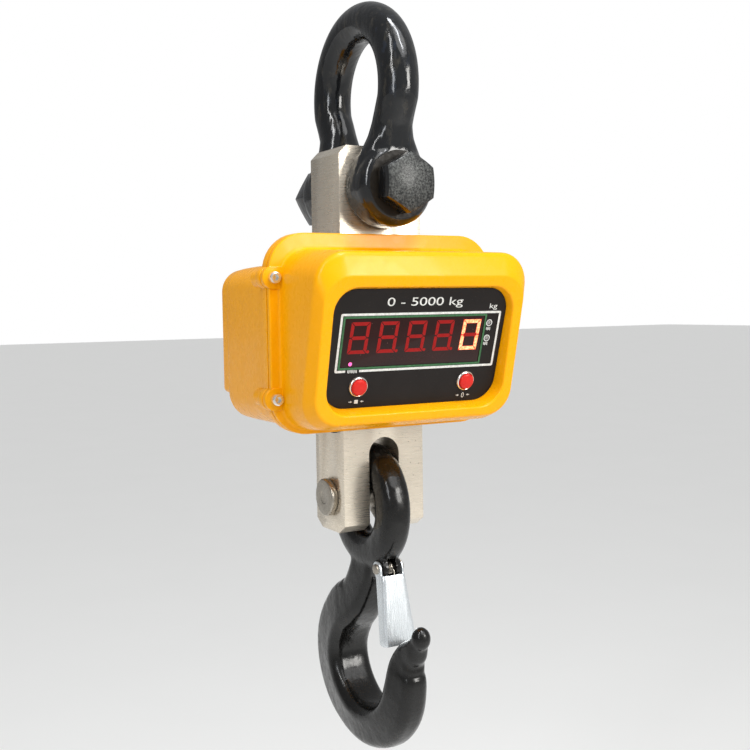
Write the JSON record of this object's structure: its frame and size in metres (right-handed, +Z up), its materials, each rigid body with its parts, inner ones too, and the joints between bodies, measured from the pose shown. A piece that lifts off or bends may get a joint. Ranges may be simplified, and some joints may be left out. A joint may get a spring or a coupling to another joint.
{
  "type": "crane scale",
  "caption": "Hanging crane scale: bow shackle, load-cell column, boxed digital display with push buttons, and an eye hook with a sprung safety latch.",
  "frame": {"origin": "hang point at the top of the shackle bow's inside, on the load line", "axes": "+Z up along the load line, -Y out of the display side, +X to the right seen from the display side"},
  "size_m": [0.255, 0.2505, 0.7356],
  "materials": {
    "black_enamel": "gloss black enamel on forged steel",
    "hook_black": "gloss black enamel, slightly orange-peeled, on forged steel",
    "dark_steel": "dark oxide finish, as forged",
    "satin_nickel": "satin nickel plating on milled steel",
    "turned_steel": "turned and ground",
    "zinc": "bright zinc plating",
    "screw_steel": "bright socket screws",
    "yellow_enamel": "gloss golden-yellow enamel on a casting",
    "black_rubber": "matte moulded rubber",
    "cable_jacket": "satin cable jacket",
    "panel_black": "satin black printed membrane with white and green print",
    "window_red": "dark smoked red filter window",
    "circuit_board": "solder-masked laminate",
    "led_digit": "dark red seven-segment module, the last one lit",
    "lamp_magenta": "lit magenta-red lens",
    "lamp_clear": "milky lens, unlit",
    "button_red": "bright red moulded cap",
    "collar_chrome": "bright plated collar",
    "black_plastic": "moulded black plastic",
    "gauge_foil": "amber foil on carrier film"
  },
  "bodies": {
    "shackle": {"shackle_bow": "black_enamel", "shackle_bolt": "dark_steel", "shackle_nut": "dark_steel", "shackle_cotter_pin": "zinc"},
    "hook": {"hook": "hook_black", "latch_pin": "turned_steel"},
    "latch": {"latch": "zinc", "latch_spring": "turned_steel"},
    "tare_button": {"tare_button_cap": "button_red"},
    "zero_button": {"zero_button_cap": "button_red"},
    "weigher": {"hook_pin_clip": "dark_steel", "load_cell": "satin_nickel", "hook_pin": "turned_steel", "bracket_bolt_left": "turned_steel", "bracket_bolt_right": "turned_steel", "hook_pin_washer": "zinc", "gauge_cover_left": "zinc", "gauge_cover_right": "zinc", "housing_bracket_left": "zinc", "housing_bracket_right": "zinc", "battery_tray": "zinc", "cover_screw_1": "screw_steel", "cover_screw_2": "screw_steel", "cover_screw_3": "screw_steel", "cover_screw_4": "screw_steel", "door_screw_1": "screw_steel", "door_screw_2": "screw_steel", "door_screw_3": "screw_steel", "door_screw_4": "screw_steel", "bracket_screw_left": "screw_steel", "bracket_screw_right": "screw_steel", "front_cover": "yellow_enamel", "rear_cover": "yellow_enamel", "battery_door": "yellow_enamel", "cover_gasket": "black_rubber", "column_seal_top": "black_rubber", "column_seal_bottom": "black_rubber", "charge_socket_cap": "black_rubber", "cell_cable": "cable_jacket", "battery_lead": "cable_jacket", "display_panel": "panel_black", "display_window": "window_red", "display_board": "circuit_board", "main_board": "circuit_board", "digit_1": "led_digit", "digit_2": "led_digit", "digit_3": "led_digit", "digit_4": "led_digit", "digit_5": "led_digit", "stable_lamp": "lamp_magenta", "mode_lamp_1": "lamp_clear", "mode_lamp_2": "lamp_clear", "tare_button_collar": "collar_chrome", "zero_button_collar": "collar_chrome", "battery": "black_plastic", "tare_switch": "black_plastic", "zero_switch": "black_plastic", "charge_socket": "black_plastic", "strain_gauge_left": "gauge_foil", "strain_gauge_right": "gauge_foil"}
  },
  "joints": [
    {"name": "cell_swing", "type": "hinge", "parent": "shackle", "child": "weigher", "pos_m": [0, 0, -0.142], "axis": [0, 1, 0], "range_deg": [-90, 90]},
    {"name": "hook_swing", "type": "hinge", "parent": "weigher", "child": "hook", "pos_m": [0, 0, -0.44], "axis": [1, 0, 0], "range_deg": [-45, 45]},
    {"name": "latch_swing", "type": "hinge", "parent": "hook", "child": "latch", "pos_m": [0, -0.035, -0.509], "axis": [1, 0, 0], "range_deg": [0, 40], "stiffness_Nm_per_rad": 0.15, "springref_deg": -28.65},
    {"name": "tare_press", "type": "slide", "parent": "weigher", "child": "tare_button", "axis": [0, 0.9567, 0.2912], "range_m": [0, 0.002], "stiffness_N_per_m": 400, "springref_m": -0.002},
    {"name": "zero_press", "type": "slide", "parent": "weigher", "child": "zero_button", "axis": [0, 0.9567, 0.2912], "range_m": [0, 0.002], "stiffness_N_per_m": 400, "springref_m": -0.002}
  ]
}
